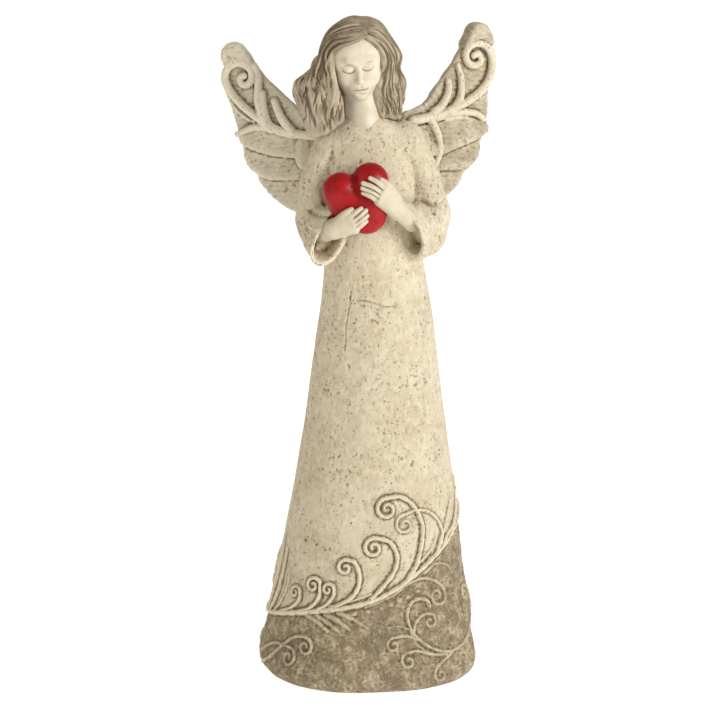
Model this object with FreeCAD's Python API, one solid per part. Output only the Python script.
"""Cast-resin angel figurine holding a heart, as its separate castings, pins, base disc and felt pad.

Units are millimetres. +Z is up, the figure faces -Y, and the origin is the middle of the face it stands on.
Left and right are the figure's own: its right arm and right wing are on the -X side.
"""
import FreeCAD, Part
import math
import os

V = FreeCAD.Vector
X_AXIS, Y_AXIS, Z_AXIS = V(1, 0, 0), V(0, 1, 0), V(0, 0, 1)
SIDES = {"right": -1, "left": 1}

# ---- Driving dimensions ----
HEIGHT = 330.0           # floor to the crown of the hair
GLUE_GAP = 0.1           # round a seated piece
FELT = 1.0               # thickness of the felt pad
FELT_INSET = 4.0         # hem's outer edge to the felt's edge
WALL = 5.5               # robe casting's wall
DISC = 7.0               # thickness of the disc that closes the robe
DISC_INSET = 6.5         # hem's outer edge to the disc's edge
VENT_RADIUS = 3.0        # pouring vent through the disc
CAVITY_TOP = 236.0       # the hollow ends below the chest
CAVITY_TOP_HALVES = (15.0, 10.0)
PIN_RADIUS = 1.2         # steel dowel pins
PIN_LENGTH = 16.0

# Robe sections: height, half width, half depth, centre x, centre y, skew of the oval. Near the hem they are fuller
# at the corners than an oval.
ROBE = [
    (1.0, 52.4, 46.0, -2.6, -1.7, 0.038),
    (3.6, 54.6, 48.0, -2.4, -1.7, 0.038),
    (9.0, 54.8, 48.2, -2.2, -1.4, 0.038),
    (28.0, 51.4, 45.0, -0.8, -0.8, 0.030),
    (54.0, 47.2, 40.6, 0.0, 0.0, 0.015),
    (91.0, 41.4, 34.8, 1.4, 0.0, 0.008),
    (128.0, 35.6, 29.4, 2.1, 0.0, 0.0),
    (165.0, 30.6, 24.8, 2.4, 0.0, 0.0),
    (195.0, 26.6, 21.6, 2.1, 0.0, 0.0),
    (216.0, 24.2, 19.6, 1.0, 0.5, 0.0),
    (240.0, 24.0, 18.6, 0.0, 1.0, 0.0),
    (258.0, 24.2, 17.0, -1.0, 2.0, 0.0),
    (269.0, 22.0, 14.6, -1.8, 2.6, 0.0),
    (277.0, 16.5, 11.6, -2.8, 2.6, 0.0),
    (281.5, 9.6, 8.6, -3.6, 2.4, 0.0),
]
SKEW_ANGLE = math.radians(-50.0)   # the hem reaches furthest towards its front left
HEM_FULLNESS = 0.055               # how much squarer than an oval the hem is
FULL_BELOW = 54.0                  # the squareness fades out up to this height

# Arms: x is towards that arm's own side. The cuff's mouth is an oval: centre, long axis, short axis, half sizes.
SHOULDER = V(20.0, 2.0, 264.5)
ELBOW = V(29.8, -2.5, 232.0)
ARM_HALVES = [(6.5, 6.5), (10.6, 10.6), (9.6, 10.4), (9.4, 10.2), (6.8, 7.6)]
CUFF_START_HALVES = (9.6, 8.2)
CUFF_WALL = 2.0
CUFF_POCKET_HALVES = (6.0, 5.0)
CUFFS = {
    "right": (V(-23.0, -28.0, 226.2), V(0.30, 0.0, 0.954), V(0.93, 0.22, -0.292), (14.8, 7.8)),
    "left": (V(13.4, -21.4, 228.0), V(-0.36, -0.20, 0.91), V(0.50, -0.866, 0.0), (15.8, 7.0)),
}

# Hands: forearm's hidden end, wrist, palm, fingertips from the index to the little finger, thumb's tip.
HANDS = {
    "right": (V(-26.8, -17.0, 228.4), V(-22.4, -31.6, 232.2), V(-16.8, -36.4, 236.0),
              [V(-14.0, -38.2, 243.6), V(-10.6, -37.8, 242.6), V(-8.4, -37.2, 240.0), V(-8.6, -36.2, 236.0)],
              V(-19.0, -36.8, 242.0)),
    "left": (V(19.0, -18.0, 232.6), V(8.4, -30.2, 239.2), V(2.0, -35.2, 245.2),
             [V(-2.8, -37.8, 255.6), V(-7.6, -38.4, 254.6), V(-9.8, -38.6, 251.2), V(-8.6, -38.4, 247.6)],
             V(4.8, -36.2, 252.6)),
}
FOREARM_RADIUS = 3.6
PALM_RADIUS = 3.8
KNUCKLE_RADIUS = 2.2
FINGER_RADIUS = 1.35
THUMB_RADIUS = 1.5
FINGER_PITCH = 2.3

# Heart
HEART_AT = V(-12.0, -27.4, 244.4)
HEART_TILT = 17.0        # degrees that its point swings towards the figure's left
HEART_HALF_THICKNESS = 7.8
HEART_NOTCH = 10.2
HEART_POINT = -17.8
HEART_LOBE = [(3.6, 14.6), (9.6, 16.2), (15.4, 12.6), (17.2, 5.6), (14.4, -3.6), (8.0, -12.0)]
HEART_LAYERS = [(-1.0, 0.42), (-0.72, 0.78), (-0.25, 0.97), (0.25, 0.97), (0.72, 0.78), (1.0, 0.42)]

# Head and hair
NECK = V(-3.8, 1.5, 276.0)
NECK_RADIUS = 8.4
SOCKET_FLOOR = 266.0
SOCKET_RADIUS = 6.0
HEAD = V(-6.0, -3.0, 306.5)
HEAD_HALVES = (12.2, 14.6, 16.0)
CROWN_HALVES = (18.6, 18.2, 19.5)

# Wings, each in its own plane: distance out from the root, and height.
WING_ROOT = V(14.0, 16.0, 0.0)
WING_SWEEP = 23.6        # degrees that a wing turns back from the sideways line
WING_BLADE = 5.0
WING_LIFTS = {"right": 0.0, "left": 0.125}   # stretch of the part above WING_LIFT_FROM
WING_LIFT_FROM = 250.0
WING_PIN_HEIGHTS = (243.0, 262.0)
WING_PIN_ANGLE = math.radians(40.0)
WING_OUTLINE = [
    (2.0, 268.0), (9.0, 274.0), (16.8, 279.5), (29.1, 291.0), (38.0, 299.4), (44.0, 307.5),
    (49.0, 313.6), (54.0, 315.0), (58.6, 310.8), (59.0, 303.0), (60.0, 295.0), (57.4, 286.3),
    (52.0, 272.3), (48.6, 262.0), (44.4, 252.4), (39.0, 244.6), (29.5, 235.0), (16.0, 228.0),
    (4.0, 226.0), (0.0, 246.0),
]
# Lower edges of the feather rows above the lowest one, each row proud of the next.
FEATHER_ROWS = [
    [(0.0, 256.0), (12.0, 257.4), (22.4, 258.2), (32.1, 258.9), (41.8, 261.0), (50.6, 265.4)],
    [(0.0, 245.0), (10.0, 246.6), (19.8, 247.2), (28.1, 246.8), (36.4, 247.4), (45.6, 252.6)],
]
FEATHER_STEP = 1.3
# Raised scrolls: centre line, half width at its start and at its end.
SCROLLS = [
    ([(8.0, 271.0), (22.0, 270.2), (31.0, 272.4), (40.3, 278.0), (48.0, 284.0), (54.0, 290.5),
      (56.6, 297.0), (54.6, 302.6), (49.0, 304.8), (44.0, 302.0), (43.0, 297.4), (45.8, 294.0),
      (49.2, 295.4), (48.8, 298.6)], 2.6, 1.7),
    ([(33.0, 273.6), (38.2, 280.0), (39.8, 288.0), (38.6, 297.0)], 2.2, 1.1),
    ([(24.5, 272.0), (29.6, 277.6), (32.6, 283.0), (32.4, 289.0)], 2.3, 0.8),
    ([(35.0, 273.6), (42.0, 273.4), (48.0, 271.0), (52.4, 268.4)], 1.9, 1.1),
    ([(14.0, 270.0), (20.5, 265.6), (22.6, 259.6), (20.6, 252.4)], 2.4, 1.2),
]
SCROLL_HEIGHT = 2.2


# ---- Shapes ----
def spline(points, closed=False):
    curve = Part.BSplineCurve()
    curve.interpolate(Points=points, PeriodicFlag=closed)
    return curve


def closed_wire(points):
    return Part.Wire([spline(points, closed=True).toShape()])


def ring(centre, u, v, a, b, skew=0.0, fullness=0.0, count=20):
    """A closed smooth oval round centre, with half size a along u and b along v, and fuller corners if asked."""
    points = []
    for i in range(count):
        t = 2 * math.pi * i / count
        grow = 1.0 + skew * math.cos(2 * (t - SKEW_ANGLE)) + 0.5 * fullness * (1.0 - math.cos(4 * t))
        points.append(centre + u * (a * grow * math.cos(t)) + v * (b * grow * math.sin(t)))
    return closed_wire(points)


def level_ring(z, a, b, cx, cy, skew=0.0):
    fullness = HEM_FULLNESS * max(0.0, 1.0 - z / FULL_BELOW)
    return ring(V(cx, cy, z), X_AXIS, Y_AXIS, a, b, skew, fullness)


def loft(rings):
    return Part.makeLoft(rings, True, False)


def ellipsoid(centre, halves, tilt=0.0):
    """An ellipsoid turned by tilt degrees about Y."""
    matrix = FreeCAD.Matrix()
    matrix.scale(*halves)
    ball = Part.makeSphere(1.0).transformGeometry(matrix)
    ball.rotate(V(0, 0, 0), Y_AXIS, tilt)
    ball.translate(centre)
    return ball


def rod(start, end, radius):
    along = end - start
    return Part.makeCylinder(radius, along.Length, start, along)


def capsule(start, end, radius):
    return rod(start, end, radius).fuse([Part.makeSphere(radius, start), Part.makeSphere(radius, end)])


def main_solid(shape):
    """The largest solid of a boolean result."""
    return max(shape.Solids, key=lambda solid: solid.Volume)


# ---- Robe, base disc and felt ----
def robe_cavity():
    """The hollow inside the robe, from the disc's seat to below the chest."""
    _, a, b, cx, cy, skew = ROBE[2]
    rings = [level_ring(FELT + DISC, a - 1.5 * WALL, b - 1.5 * WALL, cx, cy, skew)]
    for z, a, b, cx, cy, skew in ROBE[3:]:
        if z < CAVITY_TOP - WALL:
            rings.append(level_ring(z, a - WALL, b - WALL, cx, cy, skew))
    rings.append(level_ring(CAVITY_TOP, *CAVITY_TOP_HALVES, 0.0, 1.0))
    return loft(rings)


def base_oval(inset, low, high):
    """A flat oval plate of the hem's outline, pulled in by inset."""
    _, a, b, cx, cy, skew = ROBE[0]
    outline = level_ring(low, a - inset, b - inset, cx, cy, skew)
    return Part.Face(outline).extrude(V(0, 0, high - low))


def neck_bore(radius, top):
    return Part.makeCylinder(radius, top - SOCKET_FLOOR, V(NECK.x, NECK.y + 0.8, SOCKET_FLOOR))


# ---- Arms ----
def sleeve(side, cuff):
    """A bell sleeve, from the shoulder through the elbow to the cuff, and the hollow inside the cuff."""
    shoulder = V(side * SHOULDER.x - 1.0, SHOULDER.y, SHOULDER.z)
    elbow = V(side * ELBOW.x, ELBOW.y, ELBOW.z)
    down = (elbow - shoulder).normalize()
    across = Y_AXIS.cross(down).normalize()
    forward = down.cross(across)
    stations = [shoulder - down * 7.0, shoulder, (shoulder + elbow) * 0.5, elbow, elbow + down * 5.0]
    arm = loft([ring(at, across, forward, a, b) for at, (a, b) in zip(stations, ARM_HALVES)])

    mouth, long_axis, short_axis, (a, b) = cuff
    long_axis = V(long_axis).normalize()
    short_axis = (short_axis - long_axis * short_axis.dot(long_axis)).normalize()
    start = elbow + V(0, 1.0, -1.0)
    out = long_axis.cross(short_axis)
    if out.dot(mouth - start) < 0:
        out = -out
    start_a, start_b = CUFF_START_HALVES
    bell = loft([
        ring(start, (long_axis - out * 0.3).normalize(), short_axis, start_a, start_b),
        ring((start + mouth) * 0.5, long_axis, short_axis, (start_a + a) * 0.5, (start_b + b) * 0.5),
        ring(mouth, long_axis, short_axis, a, b),
    ])
    hollow = loft([
        ring(mouth + out * 0.2, long_axis, short_axis, a - CUFF_WALL, b - CUFF_WALL),
        ring((start + mouth) * 0.5, long_axis, short_axis, *CUFF_POCKET_HALVES),
    ])
    return arm.fuse(bell), hollow


def hand(forearm_end, wrist, palm, tips, thumb_tip):
    across = (tips[0] - tips[3]).normalize()
    pieces = [
        capsule(wrist, palm, PALM_RADIUS),
        capsule(wrist + across * KNUCKLE_RADIUS, thumb_tip, THUMB_RADIUS),
    ]
    for i, tip in enumerate(tips):
        knuckle = palm + across * (FINGER_PITCH * (1.5 - i))
        pieces.append(capsule(wrist, knuckle, KNUCKLE_RADIUS))
        pieces.append(capsule(knuckle, tip, FINGER_RADIUS))
    return capsule(forearm_end, wrist, FOREARM_RADIUS).fuse(pieces)


def heart():
    """A puffed heart: its outline at several depths, smaller towards the front and back."""
    right = HEART_LOBE
    left = [(-x, z) for x, z in reversed(HEART_LOBE)]
    outline = [(0.0, HEART_NOTCH)] + right + [(0.0, HEART_POINT)] + left
    rings = []
    for depth, scale in HEART_LAYERS:
        y = depth * HEART_HALF_THICKNESS
        rings.append(closed_wire([V(x * scale, y, z * scale) for x, z in outline]))
    solid = loft(rings)
    solid.rotate(V(0, 0, 0), Y_AXIS, -HEART_TILT)
    solid.translate(HEART_AT)
    return solid


# ---- Wings ----
def on_wing(points, lift):
    return [V(u, 0, z + lift * max(0.0, z - WING_LIFT_FROM)) for u, z in points]


def ribbon(centre_line, start_half, end_half):
    """A flat band whose width tapers along an open centre line."""
    curve = spline(centre_line)
    first, last = curve.FirstParameter, curve.LastParameter
    steps = 4 * len(centre_line)
    left, right = [], []
    for i in range(steps + 1):
        t = first + (last - first) * i / steps
        tangent = V(*curve.tangent(t)[0])
        half = start_half + (end_half - start_half) * i / steps
        across = V(tangent.z, 0, -tangent.x) * half
        left.append(curve.value(t) + across)
        right.append(curve.value(t) - across)
    edges = [
        spline(left).toShape(),
        Part.LineSegment(left[-1], right[-1]).toShape(),
        spline(right).toShape(),
        Part.LineSegment(right[0], left[0]).toShape(),
    ]
    return Part.Face(Part.Wire(edges))


def feather_row(edge, outline_face, depth):
    """The part of the wing above a feather row's lower edge, standing depth proud of the blade."""
    lower = spline(edge).toShape()
    far, near, top = 80.0, -20.0, HEIGHT + 10.0
    corners = [edge[-1], V(far, 0, edge[-1].z), V(far, 0, top), V(near, 0, top), V(near, 0, edge[0].z), edge[0]]
    lines = [Part.LineSegment(a, b).toShape() for a, b in zip(corners, corners[1:])]
    above = Part.Face(Part.Wire([lower] + lines)).extrude(V(0, -depth, 0))
    return above.common(outline_face.extrude(V(0, -depth, 0)))


def wing(side, lift):
    face = Part.Face(closed_wire(on_wing(WING_OUTLINE, lift)))
    pieces = []
    for i, edge in enumerate(FEATHER_ROWS):
        pieces.append(feather_row(on_wing(edge, lift), face, FEATHER_STEP * (len(FEATHER_ROWS) - i)))
    scroll_back = -FEATHER_STEP
    scroll_front = -(FEATHER_STEP * len(FEATHER_ROWS) + SCROLL_HEIGHT)
    for points, start_half, end_half in SCROLLS:
        band = ribbon(on_wing(points, lift), start_half, end_half)
        band.translate(V(0, scroll_back, 0))
        pieces.append(band.extrude(V(0, scroll_front - scroll_back, 0)))
    body = main_solid(face.extrude(V(0, WING_BLADE, 0)).fuse(pieces))
    if side < 0:
        body = body.mirror(V(0, 0, 0), X_AXIS)
    body.rotate(V(0, 0, 0), Z_AXIS, side * WING_SWEEP)
    body.translate(V(side * WING_ROOT.x, WING_ROOT.y, 0))
    return body


def wing_pins(side):
    outward = V(side * math.cos(WING_PIN_ANGLE), math.sin(WING_PIN_ANGLE), 0)
    starts = [V(side * 9.0, 9.0, z) for z in WING_PIN_HEIGHTS]
    return [rod(start, start + outward * PIN_LENGTH, PIN_RADIUS) for start in starts]


# ---- Head and hair ----
def head_parts():
    """Skull, jaw, nose and neck, before they are joined."""
    skull = ellipsoid(HEAD, HEAD_HALVES)
    jaw = ellipsoid(HEAD + V(0, -4.2, -8.0), (8.6, 8.4, 9.0))
    nose = ellipsoid(HEAD + V(-0.4, -14.4, -4.0), (1.5, 1.9, 3.4))
    neck = loft([
        level_ring(NECK.z - 1.0, NECK_RADIUS + 1.2, NECK_RADIUS + 0.2, NECK.x, NECK.y),
        level_ring(NECK.z + 6.0, NECK_RADIUS, NECK_RADIUS - 0.6, NECK.x, NECK.y),
        level_ring(HEAD.z - 6.5, NECK_RADIUS - 0.4, NECK_RADIUS - 0.2, HEAD.x + 0.6, HEAD.y + 3.2),
    ])
    return [skull, jaw, nose, neck]


def hair_mass():
    """The combed hair round the head and the locks that fall on the shoulders, before the head is cut out."""
    cap_z = HEIGHT - CROWN_HALVES[2]
    cap = ellipsoid(V(HEAD.x, HEAD.y + 3.6, cap_z), CROWN_HALVES)
    back = ellipsoid(HEAD + V(-1.0, 12.0, -13.0), (19.5, 10.0, 23.0))
    right_lock = ellipsoid(V(-27.0, -4.0, 291.5), (11.0, 9.5, 15.5), 12.0)
    right_wave = ellipsoid(V(-19.6, -3.0, 305.0), (6.6, 9.0, 11.5), 18.0)
    left_lock = ellipsoid(V(8.6, 3.6, 294.0), (7.6, 9.0, 15.0), -8.0)
    return cap.fuse([back, right_lock, right_wave, left_lock])


# ---- Assembly ----
def build():
    """Every node's shape by name. Each piece is cut clear of the ones it is glued to."""
    made = {}
    outside = loft([level_ring(*section) for section in ROBE])

    heart_pin_start = HEART_AT + V(0, -2.0, 0)
    made["heart_pin"] = rod(heart_pin_start, heart_pin_start + V(0, PIN_LENGTH, 0), PIN_RADIUS)
    neck_pin_start = V(NECK.x, NECK.y, SOCKET_FLOOR - 0.5 * PIN_LENGTH)
    made["neck_pin"] = rod(neck_pin_start, neck_pin_start + V(0, 0, PIN_LENGTH), PIN_RADIUS)
    pins = {name: wing_pins(side) for name, side in SIDES.items()}
    for name in SIDES:
        made["wing_pins_" + name] = Part.makeCompound(pins[name])

    seat = base_oval(DISC_INSET - GLUE_GAP, 0.0, FELT + DISC)
    socket = neck_bore(SOCKET_RADIUS, HEIGHT)
    bored = [made["heart_pin"], made["neck_pin"]] + pins["right"] + pins["left"]
    made["robe"] = main_solid(outside.cut(robe_cavity()).cut([seat, socket]).cut(bored))
    vent = Part.makeCylinder(VENT_RADIUS, DISC, V(0, 0, FELT))
    made["base_disc"] = base_oval(DISC_INSET, FELT, FELT + DISC).cut(vent)
    made["felt_pad"] = base_oval(FELT_INSET, 0.0, FELT)

    made["heart"] = main_solid(heart().cut([made["heart_pin"], outside]))
    for name, side in SIDES.items():
        arm, hollow = sleeve(side, CUFFS[name])
        made["sleeve_" + name] = main_solid(arm.cut([outside, made["heart"], hollow]))
        bare_hand = hand(*HANDS[name])
        made["hand_" + name] = main_solid(bare_hand.cut([made["heart"], made["sleeve_" + name], outside]))

    solid_head = head_parts()
    spigot = neck_bore(SOCKET_RADIUS - GLUE_GAP, NECK.z + 10.0)
    joined = solid_head[0].fuse(solid_head[1:]).cut(outside).fuse(spigot)
    made["head"] = main_solid(joined.cut(made["neck_pin"]))
    sleeves = [made["sleeve_right"], made["sleeve_left"]]
    made["hair"] = main_solid(hair_mass().cut(solid_head + [outside] + sleeves))

    for name, side in SIDES.items():
        neighbours = [outside, made["sleeve_" + name], made["hair"]] + pins[name]
        made["wing_" + name] = main_solid(wing(side, WING_LIFTS[name]).cut(neighbours))
    return made


def main():
    os.makedirs("parts", exist_ok=True)
    for name, shape in build().items():
        print(f"{name:16s} valid {shape.isValid()}, solids {len(shape.Solids)}, volume {shape.Volume:.0f}")
        shape.exportStep(f"parts/{name}.step")


main()
